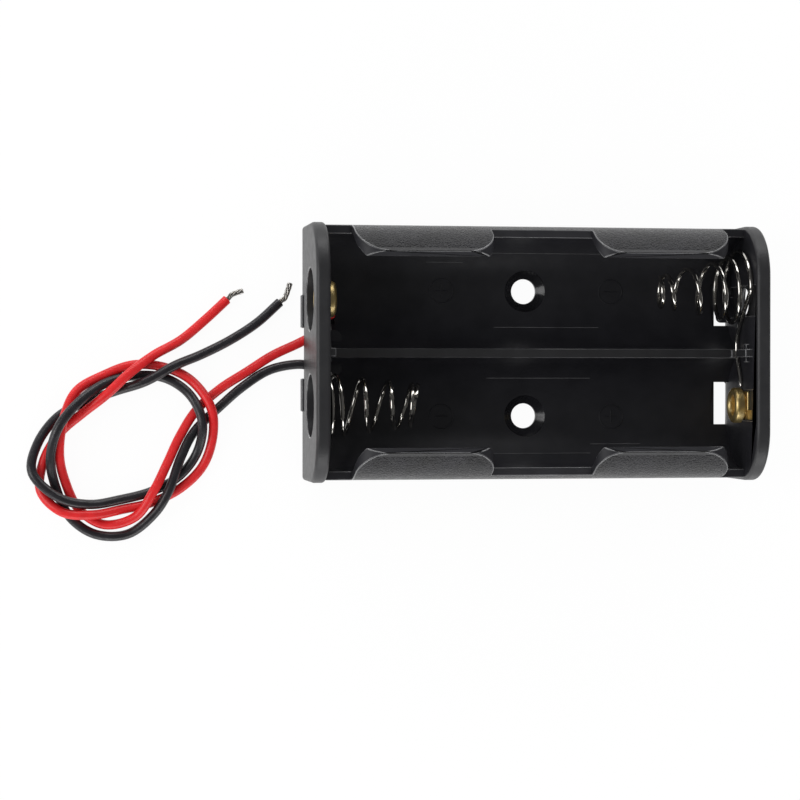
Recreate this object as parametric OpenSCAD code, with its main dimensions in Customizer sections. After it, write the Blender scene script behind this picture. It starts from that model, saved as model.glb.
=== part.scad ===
// Open holder for two AA cells lying side by side, wired in series, with two free leads.
// +X points away from the leads, +Y runs across the cells and +Z is up.
// The origin is at the middle of the underside of the housing.

/* [Cells] */
// Diameter of one cell
cell_d = 14.5; // [14:0.1:15]
// Radial clearance between a cell and its trough
cell_clear = 0.05; // [0.03:0.01:0.2]
// Distance between the axes of the two cells
cell_pitch = 14.8; // [14.7:0.1:15.6]
// Clear length between the two end plates
bay_l = 53.6; // [52:0.2:56]

/* [Troughs] */
// Thickness of the floor under a cell
floor_t = 1.2; // [1:0.1:2]
// Thickness of the side walls and the lips
wall_t = 1.1; // [0.9:0.1:1.5]
// Height of the divider between the cells
divider_h = 6; // [5:0.1:6.5]
// Angle above the cell's axis where the side wall ends near the end plates
wall_end_a = 3.5; // [1:0.5:8]
// Angle above the cell's axis where the side wall ends between the lips
wall_mid_a = 20.9; // [14:0.1:26]

/* [Lips] */
// Angle above the cell's axis where a lip ends
lip_a = 54.5; // [48:0.5:58]
// Distance from the middle of the housing to the near side of a lip
lip_x = 6.4; // [5:0.1:8]
// Length of a lip
lip_l = 17.2; // [14:0.2:18]
// Rounding of a lip's corner towards the middle
lip_in_r = 3.5; // [2:0.1:4]
// Rounding of a lip's corner towards the end plate
lip_out_r = 4.2; // [2:0.1:4.6]

/* [End plates] */
// Thickness of an end plate
plate_t = 1.8; // [1.5:0.1:2.4]
// Height of an end plate
plate_h = 14.6; // [13.5:0.1:16]
// Distance an end plate stands out past each side wall
plate_proud = 0.35; // [0.2:0.05:0.8]
// Radius of an end plate's top corners
plate_corner_r = 6.6; // [4:0.1:7]
// Rounding of an end plate's edges
plate_edge_r = 0.5; // [0.3:0.05:0.7]
// Width of the rib between the cells on an end plate
rib_w = 1.04; // [0.8:0.02:1.4]
// Distance the rib stands out from the end plate
rib_d = 0.9; // [0.8:0.05:1.2]
// Height of the rib
rib_h = 12.5; // [11:0.1:13]

/* [Floor] */
// Diameter of a mounting hole
hole_d = 3.2; // [3:0.1:3.6]
// Distance between the mounting holes
hole_pitch = 16; // [15.4:0.1:16.6]
// Diameter of the countersink at the floor
sink_d = 5.3; // [4.6:0.1:6]
// Depth of the countersink
sink_h = 0.8; // [0.5:0.05:0.9]
// Width of a contact slot, along the cell
slot_w = 1.9; // [1.6:0.1:2.2]
// Length of a contact slot, across the cell
slot_l = 5.5; // [4.5:0.1:6]
// Width of the notch that the leads come out of
notch_w = 6.4; // [5.8:0.1:6.6]
// Height of the notch that the leads come out of
notch_h = 1.55; // [1.4:0.05:1.6]
// Height of the two bosses beside the divider, next to the leads
boss_h = 4.2; // [4:0.1:5]
// Diameter of those bosses
boss_d = 2; // [1.4:0.1:2.4]
// Width of the cores under the side walls
core_w = 3.1; // [2:0.1:3.4]
// Distance from the middle of the housing to the first core
core_x = 9.1; // [8:0.1:12]
// Length of the shelf under the bridge spring, along the cell
shelf_l = 1.7; // [1.4:0.05:1.9]
// Height of the top of that shelf
shelf_h = 3.3; // [3:0.05:3.4]
// Length of a foot strip at the bottom of an end plate
foot_l = 4.2; // [3:0.1:5]
// Distance a foot strip stands out from the end plate
foot_t = 0.25; // [0.15:0.05:0.4]

/* [Contacts] */
// Distance of a contact's middle from the middle of the housing
contact_y = 6.6; // [6:0.1:7]
// Height of a contact's middle
contact_z = 7.9; // [7.5:0.1:8.5]
// Diameter of the round port on the outside of an end plate
port_d = 7.8; // [7:0.1:8.4]
// Depth of the round port
port_t = 1; // [0.8:0.05:1.1]
// Diameter of the hole at the bottom of a port
port_hole_d = 3.4; // [3:0.1:3.6]
// Width of the contact strip
strip_w = 3.6; // [3.4:0.1:4]
// Thickness of the contact strip
strip_t = 0.3; // [0.2:0.05:0.35]
// Clearance around the contact strip in its groove
strip_clear = 0.1; // [0.05:0.01:0.2]
// Outer diameter of the button
button_d = 4.5; // [4.2:0.1:5]
// Length of the button in front of its strip
button_l = 1.45; // [1.3:0.05:1.9]
// Radius of the rolled rim of the button
button_rim_r = 0.5; // [0.4:0.05:0.6]
// Diameter of the spring wire
wire_d = 0.55; // [0.45:0.05:0.65]
// Outer diameter of the negative spring at the end plate
spring_base_d = 8.8; // [7.6:0.1:9]
// Outer diameter of the negative spring at the tip
spring_tip_d = 5.7; // [5:0.1:6.4]
// Free length of the negative spring
spring_l = 11.65; // [10:0.05:13]
// Outer diameter of the bridge spring at the end plate
bridge_base_d = 10.2; // [9.6:0.1:10.4]
// Outer diameter of the bridge spring at the tip
bridge_tip_d = 4.5; // [4:0.1:6]
// Free length of the bridge spring
bridge_l = 11.3; // [10:0.1:12.6]

/* [Leads] */
// Diameter of a lead over its insulation
lead_d = 1.2; // [1:0.05:1.3]
// Diameter of the bare strands
strand_d = 0.7; // [0.5:0.05:0.8]

/* [Hidden] */
$fn = 64;
e = 0.01;

// Troughs and outline of the housing
trough_r = cell_d / 2 + cell_clear;
outer_r = trough_r + wall_t;
axis_y = cell_pitch / 2;
axis_z = floor_t + trough_r;
side_y = axis_y + outer_r;
face_x = bay_l / 2;
end_x = face_x + plate_t;
plate_y = side_y + plate_proud;
tall = 2 * plate_h;

// Contacts
groove_t = strip_t + strip_clear;
strip_x = face_x + groove_t - strip_t;
strip_low = contact_z - 4.8;
strip_top = contact_z + 2.3;
tab_w = 1.2;
tab_top = contact_z + 4;
groove_top = contact_z + 6.1;
keeper_w = 0.65;
keeper_h = 0.9;
keeper_z = rib_h - 2.2;
window_z = contact_z - 1.2;
window_h = 1.8;
slot_x = face_x + 0.3 - slot_w;
slot_y = contact_y - 0.2 - slot_l / 2;
slot_rim = 0.5;
lead_slot_y = 2.9;
core_web = 1;
core_end = slot_x - slot_rim - core_web;
shelf_t = 1;
shelf_r = 0.7;

// Springs: close turns at the end plate, open turns, then close turns at the tip. Each pair is a
// number of turns and the distance from the end plate that the wire has reached by then.
spring_turns = 5.2;
tip_turns = 0.9;
negative_steps = [[0, 0], [0.9, 0.7], [1.2, 1.5], [3.8, 10], [4.3, 10.8], [5.2, 11.1]];
bridge_steps = [[0, 0], [1, 1.3], [2, 2.9], [4, 9.4], [5, 10.6], [5.2, 10.7]];
wire_x = face_x - wire_d / 2 - 0.05;
coil_steps = 16;
wire_sides = 8;
spring_end_z = 4.3;

// The open turns of the negative spring lean by this much, in the direction of this angle
lean = 0.6;
lean_a = 50;

// The bridge spring stands further out than its contact, and its wire crosses to the other cell
bridge_y = contact_y + 1.75;
bridge_z = contact_z + 0.3;
bridge_tip_y = contact_y + 1.25;
bridge_link = [[-4.2, 1], [-2.6, 0.4], [-0.9, -0.4], [0, -0.8], [1.2, -0.9], [2.4, -0.5],
    [3.5, 0.4], [5.2, 2.1], [6.9, 3.9], [7.6, 4.7]];

// Drops of solder: radius, middle of the flat side with X from the inside of the end plate, and
// the point in the drop where the bare wire ends
red_drop_r = 1;
red_drop = [face_x - strip_x, contact_y - 1.1, strip_low + 1.3];
red_wire_end = red_drop + [0.5, 0, 0];
black_drop_r = 0.75;
black_drop = [black_drop_r, -2.9, spring_end_z];
black_wire_end = black_drop - [0, 0, 0.4];

// Leads, from their soldered ends to their bare ends. The points of each route have X from the
// inside of the end plate, Y and Z.
lead_sides = 8;
red_route = [
    [1.4, 4.9, 3.6], [1.1, 4.6, 2.6], [0.8, 4, 1.5], [0.5, 2.9, 0.8], [-2.1, 1.4, 0.7],
    [-5.7, -0.3, 0.6], [-9, -2.4, 0.6], [-12.3, -4.5, 0.6], [-15.3, -7.2, 0.6],
    [-17.4, -10.5, 0.7], [-19, -13.8, 1.5], [-20.8, -17.3, 2.5], [-23, -20.5, 1.5],
    [-26.8, -21.5, 0.7], [-30, -19.5, 0.7], [-31.7, -16, 0.7], [-32.4, -12.5, 1.6], [-31.9, -8.4, 2],
    [-30.3, -4.8, 1.5], [-26.9, -2.8, 0.7], [-23.2, -1.5, 0.7], [-19.3, -1.8, 0.6], [-15.9, -3.5, 0.9],
    [-13.6, -6.8, 2.1], [-13.3, -10.5, 1.3], [-14.5, -14.2, 0.7], [-17.3, -17, 0.6],
    [-21, -18.8, 0.7], [-24.6, -19.6, 0.7], [-28.3, -20.2, 2], [-32.1, -19.8, 1.8],
    [-34.7, -17.2, 0.7], [-34.3, -13.4, 0.8], [-32.3, -10, 0.6], [-29.6, -7.6, 1.2],
    [-26.7, -5.3, 2.3], [-23.7, -2.5, 2.4], [-20.7, -0.3, 1.4], [-17.3, 1.6, 0.7], [-14.3, 4.1, 0.7],
    [-11.4, 6.8, 0.6]];
red_tip = [-9.4, 7.9, 0.4];
black_route = [
    [0.5, -4.2, 2.8], [0.5, -3.9, 1.8], [0.4, -3.2, 0.9], [-0.2, -2.1, 0.7], [-2.2, -1.4, 0.7],
    [-6, -2.1, 0.6], [-9.4, -4.2, 0.7], [-12.3, -6.7, 0.6], [-15.5, -9.8, 0.7],
    [-17.3, -13.1, 1.3], [-18.8, -17.1, 2.1], [-20.7, -20.2, 1.5], [-23.9, -22.7, 0.7],
    [-27.9, -22.7, 0.7], [-31.1, -20.5, 0.6], [-32.8, -16.9, 0.8], [-33.5, -13.2, 2.2],
    [-32.6, -9.4, 3.3], [-30.2, -6.3, 3], [-27.1, -4, 1.7], [-23.5, -2.9, 0.7], [-19.4, -3.1, 0.7],
    [-16.2, -5.2, 1.2], [-14.7, -8.6, 2.4], [-15.2, -12.4, 1], [-17.5, -15.5, 0.6], [-21, -17.4, 0.8],
    [-24.9, -18.4, 0.7], [-28.7, -18.9, 1.8], [-32.5, -18, 2.2], [-35.7, -15, 1.8],
    [-35.1, -11.4, 0.7], [-32.7, -8.1, 0.7], [-29.3, -6.2, 0.6], [-25.5, -4.8, 0.8], [-21.8, -3.6, 2],
    [-18.1, -1.6, 1.8], [-14.7, -0.2, 0.8], [-11.1, 1.6, 0.6], [-7.7, 3.8, 0.7], [-4.7, 6.5, 0.6]];
black_tip = [-3.4, 8.9, 0.4];

// Places a point at radius r about a cell's axis and angle a above the horizontal
function on_trough(r, a) = [axis_y + r * cos(a), axis_z + r * sin(a)];

// Shape drawn with Y to the right and Z up, and run along X
module along_x(x0, x1)
    translate([x0, 0, 0]) rotate([90, 0, 90]) linear_extrude(x1 - x0) children();

// Shape drawn with X to the right and Z up, and run along Y
module along_y(y0, y1)
    translate([0, y1, 0]) rotate([90, 0, 0]) linear_extrude(y1 - y0) children();

// Cylinder along X, centred on the contact
module bored_x(d, x0, x1)
    translate([x0, contact_y, contact_z]) rotate([0, 90, 0]) cylinder(d = d, h = x1 - x0);

module both_sides() {
    children();
    mirror([0, 1, 0]) children();
}

module both_ends() {
    children();
    mirror([1, 0, 0]) children();
}

// Section of the curved side wall, coaxial with the cell, up to angle a
module wall_section(a)
    intersection() {
        difference() {
            translate([axis_y, axis_z]) circle(outer_r);
            translate([axis_y, axis_z]) circle(trough_r);
        }
        polygon([[axis_y, axis_z], [axis_y + 2 * outer_r, axis_z], on_trough(2 * outer_r / cos(a), a)]);
    }

// Section below the cells' axes, with the two round troughs cut out
module tray_section()
    difference() {
        translate([-side_y, 0]) square([2 * side_y, axis_z]);
        for (s = [-1, 1]) translate([s * axis_y, axis_z]) circle(trough_r);
        translate([-axis_y, divider_h]) square([2 * axis_y, tall]);
    }

// Rounded corner of a lip as it lies on the curved wall: a quarter circle of radius r on the
// unrolled wall, from the side at x up to the lip's end, with everything beyond it
function lip_corner(x, r, out) = let (
        reach = outer_r * lip_a * PI / 180,
        high = axis_z + outer_r + 1)
    concat(
        [for (t = [0:10:90]) let (s = reach - r + r * sin(t))
            [x + out * r * (cos(t) - 1), axis_z + outer_r * sin(s / outer_r * 180 / PI)]],
        [[x - out * r, high], [x + out, high],
         [x + out, axis_z + outer_r * sin((reach - r) / outer_r * 180 / PI)]]);

module lip()
    difference() {
        along_x(lip_x, lip_x + lip_l) wall_section(lip_a);
        along_y(axis_y, side_y + 1) {
            polygon(lip_corner(lip_x, lip_in_r, -1));
            polygon(lip_corner(lip_x + lip_l, lip_out_r, 1));
        }
    }

module tray() {
    along_x(-face_x - e, face_x + e) tray_section();
    both_sides() {
        along_x(-lip_x, lip_x) wall_section(wall_mid_a);
        both_ends() {
            lip();
            along_x(lip_x + lip_l, face_x + e) wall_section(wall_end_a);
        }
    }
}

// Edge of an end plate, w wide: thickness to the right, with both outer edges rounded
module plate_edge(w) {
    translate([plate_edge_r, 0]) square([plate_t - 2 * plate_edge_r, w]);
    square([plate_t, w - plate_edge_r]);
    for (x = [plate_edge_r, plate_t - plate_edge_r]) translate([x, w - plate_edge_r]) circle(plate_edge_r);
}

// End plate with two round top corners, its edge carried round the outline
module end_plate() {
    corner_y = plate_y - plate_corner_r;
    corner_z = plate_h - plate_corner_r;
    translate([face_x, -corner_y, 0]) cube([plate_t, 2 * corner_y, corner_z]);
    along_y(-corner_y, corner_y) translate([face_x, corner_z]) plate_edge(plate_corner_r);
    both_sides() {
        translate([face_x, corner_y, 0]) linear_extrude(corner_z) plate_edge(plate_corner_r);
        translate([face_x, corner_y, corner_z]) rotate([90, 0, 90])
            rotate_extrude(angle = 90) mirror([1, -1]) plate_edge(plate_corner_r);
    }
}

// Rib between the cells' ends, with a keeper on each side above the bridge wire
module rib()
    difference() {
        union() {
            translate([face_x - rib_d, -rib_w / 2, divider_h - 1])
                cube([rib_d + e, rib_w, rib_h - divider_h + 1]);
            translate([face_x - rib_d / 2, -rib_w / 2 - keeper_w, keeper_z])
                cube([rib_d / 2 + e, rib_w + 2 * keeper_w, keeper_h]);
        }
        translate([face_x - rib_d - 1, -rib_w, window_z]) cube([rib_d + 1, 2 * rib_w, window_h]);
    }

// Low round boss beside the divider, next to the leads
module boss()
    translate([-face_x + 1.7, 1.9, floor_t]) cylinder(d = boss_d, h = boss_h - floor_t);

// Foot strip at the bottom of an end plate's outside
module foot_strip()
    translate([end_x - e, notch_w / 2, 0]) cube([foot_t + e, foot_l, notch_h - 0.2]);

// Opening in an end plate for one contact: a port outside, a hole and a groove inside
module contact_seat() {
    bored_x(port_d, end_x - port_t, end_x + 1);
    bored_x(port_hole_d, face_x - 1, end_x);
    translate([face_x - 1, contact_y - strip_w / 2 - strip_clear, strip_low - strip_clear])
        cube([1 + groove_t, strip_w + 2 * strip_clear, groove_top - strip_low + strip_clear]);
}

// Slot in the floor beside an end plate, in a level strip of floor
module contact_slot() {
    translate([slot_x, slot_y, -1]) cube([slot_w, slot_l, floor_t + 1.5]);
    translate([slot_x - slot_rim, slot_y, floor_t])
        cube([face_x - slot_x + slot_rim, slot_l, axis_z - floor_t]);
}

// Shelf over the slot under the bridge spring
module shelf() {
    y0 = slot_y + 0.4;
    translate([face_x - shelf_l, y0, shelf_h - shelf_t]) linear_extrude(shelf_t) {
        translate([shelf_r, 0]) square([shelf_l - shelf_r + groove_t + 0.1, axis_y - y0]);
        translate([0, shelf_r]) square([shelf_l, side_y - wall_t - y0 - shelf_r]);
        translate([shelf_r, shelf_r]) circle(shelf_r);
    }
}

// Way in for the leads: a notch under the end plate, then up through the floor to each contact
module lead_way() {
    translate([-end_x - 1, -notch_w / 2, -1]) cube([plate_t + 2, notch_w, notch_h + 1]);
    translate([-slot_x - slot_w, -slot_y - 1, -1]) cube([slot_w, 2 * slot_y + 2, notch_h + 1]);
    both_sides() translate([-slot_x - slot_w, lead_slot_y, -1])
        cube([slot_w, slot_y - lead_slot_y + 1, axis_z]);
}

// Cores in the underside, which leave the same wall outside the troughs and under the divider
module cores() {
    pocket_l = (core_end - core_x - core_web) / 2;
    for (x = [core_x, core_x + pocket_l + core_web]) along_x(x, x + pocket_l) {
        difference() {
            translate([side_y - wall_t - core_w, -1]) square([core_w, axis_z]);
            translate([axis_y, axis_z]) circle(outer_r);
        }
        translate([-e, -1]) square([1.6, 3.2]);
    }
}

module mounting_hole()
    translate([0, hole_pitch / 2, 0]) {
        translate([0, 0, -1]) cylinder(d = hole_d, h = axis_z);
        translate([0, 0, floor_t - sink_h])
            cylinder(d1 = hole_d, d2 = sink_d, h = sink_h);
        translate([0, 0, floor_t]) cylinder(d = sink_d, h = 1);
    }

module housing()
    color([0.1, 0.1, 0.11]) {
        difference() {
            union() {
                tray();
                both_ends() {
                    end_plate();
                    rib();
                    both_sides() foot_strip();
                }
                both_sides() boss();
            }
            lead_way();
            both_sides() {
                both_ends() {
                    contact_seat();
                    contact_slot();
                    cores();
                }
                mounting_hole();
            }
        }
        shelf();
    }

// Contact in brass for the cell's positive end, at the end plate on the right and the cell in
// front: a strip in the groove, a hollow button with a rolled rim, and a rivet through the plate
module button() {
    bore_r = button_d / 2 - 2 * button_rim_r;
    web_x = end_x - port_t;
    neck_l = 2 * strip_clear;
    strip_y = contact_y + strip_w / 2;
    difference() {
        translate([strip_x, strip_y - strip_w, strip_low]) cube([strip_t, strip_w, strip_top - strip_low]);
        bored_x(2 * bore_r, strip_x - 1, strip_x + 1);
    }
    translate([strip_x, strip_y - tab_w, strip_top - e]) cube([strip_t, tab_w, tab_top - strip_top + e]);
    translate([strip_x + e, contact_y, contact_z]) rotate([0, -90, 0]) rotate_extrude() {
        translate([bore_r, 0]) square([strip_w / 2 - bore_r, neck_l + e]);
        translate([bore_r, neck_l]) square([2 * button_rim_r, button_l - button_rim_r - neck_l]);
        translate([bore_r + button_rim_r, button_l - button_rim_r]) circle(button_rim_r);
    }
    translate([strip_x + strip_t - e, contact_y, contact_z]) rotate([0, 90, 0]) difference() {
        union() {
            cylinder(d = port_hole_d - 0.2, h = web_x + 0.3 - strip_x - strip_t);
            translate([0, 0, web_x - strip_x - strip_t + e]) cylinder(d = port_hole_d + 1, h = 0.3);
        }
        translate([0, 0, -1]) cylinder(r = bore_r, h = end_x);
    }
}

module positive_button() color([0.8, 0.62, 0.3]) mirror([1, 0, 0]) button();
module bridge_button() color([0.8, 0.62, 0.3]) mirror([0, 1, 0]) button();

function unit(v) = v / norm(v);
function direction(path, i) = unit(path[min(i + 1, len(path) - 1)] - path[max(i - 1, 0)]);

// Round bar of diameter d with n sides along a path that never runs along side
module bar(path, d, n, side) {
    rings = [for (i = [0:len(path) - 1])
        let (t = direction(path, i), a = unit(cross(side, t)), b = cross(t, a))
        for (k = [0:n - 1]) path[i] + d / 2 * (cos(360 * k / n) * a + sin(360 * k / n) * b)];
    last = (len(path) - 1) * n;
    polyhedron(rings, concat(
        [[for (k = [0:n - 1]) k]],
        [for (i = [0:n:last - n]) for (k = [0:n - 1]) [i + k, i + n + k, i + (k + 1) % n]],
        [for (i = [0:n:last - n]) for (k = [0:n - 1]) [i + n + k, i + n + (k + 1) % n, i + (k + 1) % n]],
        [[for (k = [n - 1:-1:0]) last + k]]));
}

// Right-handed conical coil round an axis along X, from the middle of its first turn at base to the
// middle of its last turn at tip. It starts at angle start, and its open turns lean by lean.
function coil(base, tip, base_d, tip_d, steps, lean, start) = let (
        out = sign(tip[0] - base[0]),
        l = abs(tip[0] - base[0]))
    [for (i = [0:floor(spring_turns * coil_steps)])
        let (u = i / coil_steps,
             a = start + out * 360 * u,
             f = min(1, u / (spring_turns - tip_turns)),
             r = (base_d + f * (tip_d - base_d) - wire_d) / 2,
             tilt = lean * min(1, max(0, u - 0.75)) * cos(a + lean_a),
             x = l * lookup(u, steps) / lookup(spring_turns, steps) + tilt)
        [base[0] + out * x,
         base[1] + f * (tip[1] - base[1]) + r * cos(a),
         base[2] + f * (tip[2] - base[2]) + r * sin(a)]];

// Spring for the cell with its negative end by the leads: its wire comes up from the solder
module negative_spring() {
    start_y = -contact_y + (spring_base_d - wire_d) / 2;
    tip_x = -wire_x + spring_l - wire_d;
    color([0.8, 0.8, 0.82]) bar(
        concat([for (z = [spring_end_z, 5.5, 6.7]) [-wire_x, start_y, z]],
               coil([-wire_x, -contact_y, contact_z], [tip_x, -contact_y, contact_z],
                    spring_base_d, spring_tip_d, negative_steps, lean, 0)),
        wire_d, wire_sides, [1, 0, 0]);
}

// Spring for the other cell, whose wire runs on through the rib to the bridge button
module bridge_spring() {
    tip_x = wire_x - bridge_l + wire_d;
    color([0.8, 0.8, 0.82]) bar(
        concat([for (p = bridge_link) [wire_x, p[0], contact_z + p[1]]],
               coil([wire_x, bridge_y, bridge_z], [tip_x, bridge_tip_y, bridge_z],
                    bridge_base_d, bridge_tip_d, bridge_steps, 0, 90)),
        wire_d, wire_sides, [1, 0, 0]);
}

module lead(route) translate([-face_x, 0, 0]) bar(route, lead_d, lead_sides, [0, 0, 1]);

module red_lead() color([0.85, 0.15, 0.15]) lead(red_route);
module black_lead() color([0.12, 0.12, 0.13]) lead(black_route);

// Bare wire out of the end b of a lead that arrives from a, then on to c
module bare_end(a, b, c, side)
    color([0.75, 0.73, 0.7]) translate([-face_x, 0, 0])
        bar([b, b + 0.5 * unit(b - a), c], strand_d, lead_sides, side);

module strands(route, tip)
    let (n = len(route)) bare_end(route[n - 2], route[n - 1], tip, [0, 0, 1]);

module red_strands() strands(red_route, red_tip);
module black_strands() strands(black_route, black_tip);

// Half drop of solder of radius r, with its flat side at p and turned by a from facing up
module drop(p, r, a)
    color([0.7, 0.7, 0.72]) translate(p - [face_x, 0, 0]) rotate(a) rotate_extrude() intersection() {
        circle(r);
        square(r);
    }

// Solder on the lower end of the positive strip, round the bare end of the red lead
module red_solder() {
    bare_end(red_route[1], red_route[0], red_wire_end, [1, 0, 0]);
    drop(red_drop, red_drop_r, [0, 90, 0]);
}

// Solder under the lower end of the negative spring, round the bare end of the black lead
module black_solder() {
    bare_end(black_route[1], black_route[0], black_wire_end, [1, 0, 0]);
    drop(black_drop, black_drop_r, [180, 0, 0]);
}

housing();
negative_spring();
bridge_spring();
positive_button();
bridge_button();
red_lead();
red_strands();
red_solder();
black_lead();
black_strands();
black_solder();
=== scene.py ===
"""Looks of an open holder for two AA cells: black moulding, wire springs, brass buttons and leads.

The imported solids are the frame, in metres. Each operator below dresses one group of them. Sizes in
this file are in millimetres and are turned into metres where a mesh is made.
"""

import bmesh
import bpy
import numpy as np
from mathutils import Matrix, Vector


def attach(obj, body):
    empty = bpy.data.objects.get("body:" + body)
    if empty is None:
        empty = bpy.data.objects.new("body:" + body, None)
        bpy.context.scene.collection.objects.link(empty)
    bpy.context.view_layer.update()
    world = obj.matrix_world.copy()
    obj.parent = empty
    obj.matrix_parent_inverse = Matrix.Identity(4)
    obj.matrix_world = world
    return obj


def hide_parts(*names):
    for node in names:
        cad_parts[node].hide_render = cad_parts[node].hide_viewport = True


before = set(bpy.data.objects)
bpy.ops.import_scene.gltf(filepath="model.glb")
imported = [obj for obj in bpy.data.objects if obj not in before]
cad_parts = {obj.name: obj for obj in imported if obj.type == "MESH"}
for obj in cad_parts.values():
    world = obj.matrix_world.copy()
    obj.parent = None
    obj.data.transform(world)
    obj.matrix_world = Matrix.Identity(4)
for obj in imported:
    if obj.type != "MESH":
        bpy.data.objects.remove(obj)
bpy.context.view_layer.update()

bl_info = {
    "name": "Cylindrical cell holder",
    "version": (1, 0, 0),
    "blender": (4, 5, 0),
    "location": "3D View > Sidebar > Cell holder",
    "description": "Dresses the holder's solids and sets its stage",
    "category": "Object",
}

MM = 0.001

# Sizes that the solids have, in millimetres
AXIS_Y, AXIS_Z = 7.4, 8.5
TROUGH_R, OUTER_R = 7.3, 8.4
FACE_X, END_X = 26.8, 28.6
CONTACT_Y, CONTACT_Z = 6.6, 7.9
STRIP_X, STRIP_T, STRIP_W = 26.9, 0.3, 3.6
STRIP_LOW, STRIP_TOP = 3.1, 10.2
TAB_W, TAB_TOP = 1.2, 11.9
PORT_X = 27.6
BUTTON_R, BUTTON_L, BUTTON_RIM_R, BUTTON_NECK_L = 2.25, 1.45, 0.5, 0.2
RIVET_R, HEAD_R, HEAD_T = 1.6, 2.2, 0.3
WIRE_X = 26.475
SPRING_L, BASE_D, TIP_D = 11.65, 8.8, 5.7
BRIDGE_L, BRIDGE_BASE_D, BRIDGE_TIP_D = 11.3, 10.2, 4.5
SPRING_END_Z = 4.3
BRIDGE_Y, BRIDGE_TIP_Y, BRIDGE_Z = 8.35, 7.85, 8.2
TURNS, TIP_TURNS = 5.2, 0.9
LEAN, LEAN_A, LEAN_FROM = 0.6, 50, 0.75
COIL_POINTS = 16
FOOT_Z = (SPRING_END_Z, 5.5, 6.7)
LIP_Y, HOLE_Y, DIVIDER_H = 12.28, 8.0, 6.0

# Regions of the moulding: X just inside the end plates, the reach of a bolt hole round its axis,
# the X from which and the Z below which the slots lie, and the reach of the divider from the middle
INNER_X = FACE_X - 0.1
HOLE_REACH = 2.9
SLOT_FROM, SLOT_TOP = 23.7, 4.5
DIVIDER_REACH = 0.7

# Where the lips' grain starts and is full, and the rounding of the buttons' and strips' edges
GRAIN_FROM, GRAIN_FULL = LIP_Y + 0.45, LIP_Y + 0.55
BRASS_SOFT, STRIP_SOFT = 0.12, 0.06

# Solder: the end of the bare wire, the foot of the drop, its turn about Y in degrees and its
# radius; then the radius of the bare wires
SOLDER = {"red": ((-26.4, 5.5, 4.4), (-STRIP_X, 5.5, 4.4), 0, 1.0),
          "black": ((-26.05, -2.9, 3.9), (-26.05, -2.9, SPRING_END_Z), 90, 0.7)}
SOLDERED_R = 0.33

# Polarity signs: name, X and Y of the middle, and whether it is a plus; then the radius of the
# circle, half the length of a stroke, and the radii of a sign's line and of a mould line
SIGNS = [("rear_plus", -10.9, 8.0, True), ("rear_minus", 11.3, 8.0, False),
         ("front_minus", -10.9, -8.0, False), ("front_plus", 11.4, -8.1, True)]
SIGN_R, STROKE, SIGN_LINE_R, MOULD_LINE_R = 1.55, 0.8, 0.09, 0.045

# Lines that the mould left on the troughs: Y, and the X of both ends
MOULD_LINES = [(12.75, -5.9, 10.1), (3.35, -4.3, 9.4), (-3.15, -5.3, 8.3), (-12.74, -5.5, 8.1),
               (11.6, -13.1, -8.3), (-11.6, 8.3, 14.95)]

# The camera's place and the point that it looks at
EYE = (-63.549, -3.711, 293.31)
AIM = (-16.0225, -5.9474, 0)

# In metres: the floor's half width and its drop under the part, and the place, the width and the
# height of each light
FLOOR_HALF, FLOOR_DROP = 3.0, 0.00002
LIGHTS = {"light_rear": ((0.0, 0.5, 0.17), (0.9, 0.18)),
          "light_front": ((0.0, -0.5, 0.17), (0.9, 0.18)),
          "light_end": ((-0.5, 0.0, 0.3), (0.3, 0.4))}

# Range in which nearly all values of a noise lie
MID_NOISE = (0.3, 0.7)

# The moulding's mesh: points so close are one. In degrees: faces that turn by less are one flat
# face, facets of the troughs turn by less, edges that turn by more are softened
SAME_POINT = 0.001
FLAT_WITHIN, FACET, OUTER_ANGLE = 1, 2.5, 30

# How far the points of a face may lie off the round or flat form that it belongs to
OFF_ROUND, OFF_FLAT = 0.03, 0.05

# Finishes of the moulding's faces, in the order of its materials
INSIDE, OUTSIDE, ENDS, EDGES, SINK = range(5)

# Turns of each spring, and the distance from the end plate that its wire has reached by then
NEGATIVE_STEPS = [(0, 0), (0.9, 0.7), (1.2, 1.5), (3.8, 10), (4.3, 10.8), (5.2, 11.1)]
BRIDGE_STEPS = [(0, 0), (1, 1.3), (2, 2.9), (4, 9.4), (5, 10.6), (5.2, 10.7)]

# Wire from the bridge button to the bridge spring: Y, and Z above the contacts
BRIDGE_LINK = [(-4.2, 1), (-2.6, 0.4), (-0.9, -0.4), (0, -0.8), (1.2, -0.9), (2.4, -0.5), (3.5, 0.4),
               (5.2, 2.1), (6.9, 3.9), (7.6, 4.7)]

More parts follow.
